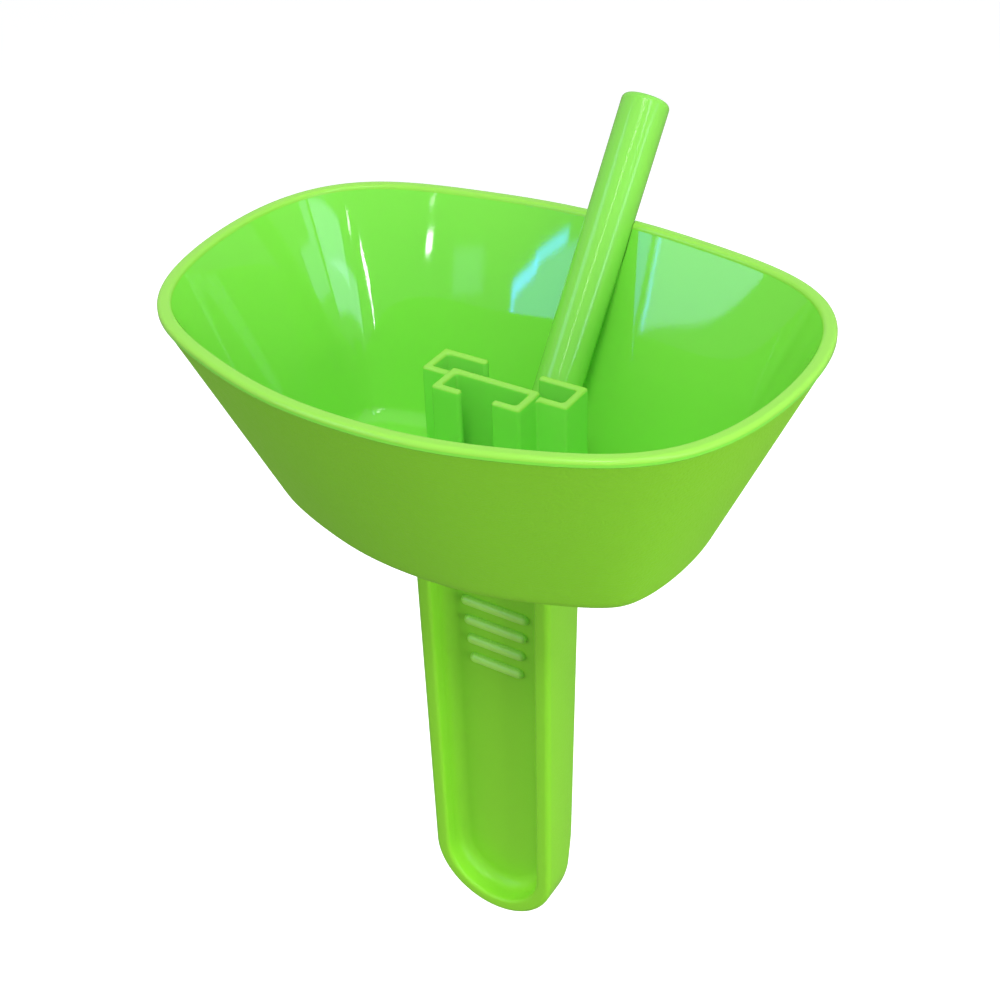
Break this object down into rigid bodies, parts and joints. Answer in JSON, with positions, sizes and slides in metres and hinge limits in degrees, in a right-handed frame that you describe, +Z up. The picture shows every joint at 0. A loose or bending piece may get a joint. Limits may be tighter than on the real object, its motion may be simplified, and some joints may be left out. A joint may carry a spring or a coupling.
{
  "type": "drip-catching ice pop holder",
  "caption": "Open oval drip bowl with a flat-stick clip on its floor, a leaning drinking straw at its back rim, and a flat ribbed handle below.",
  "frame": {"origin": "centre of the handle's flat rear grip face, inside the rear recess", "axes": "+Z up along the handle towards the bowl, +Y backwards towards the side where the straw stands out, +X along the bowl's length"},
  "size_m": [0.09, 0.0762, 0.1287],
  "materials": {
    "gloss_green": "gloss inside the bowl, fine matte texture outside",
    "satin_green": "satin"
  },
  "bodies": {
    "holder": {"bowl": "gloss_green", "stick_clip": "gloss_green", "handle": "satin_green"},
    "straw": {"straw": "gloss_green"}
  },
  "joints": [
    {"name": "straw_slide", "type": "slide", "parent": "holder", "child": "straw", "axis": [0, 0.6088, 0.7934], "range_m": [0, 0.045]}
  ]
}
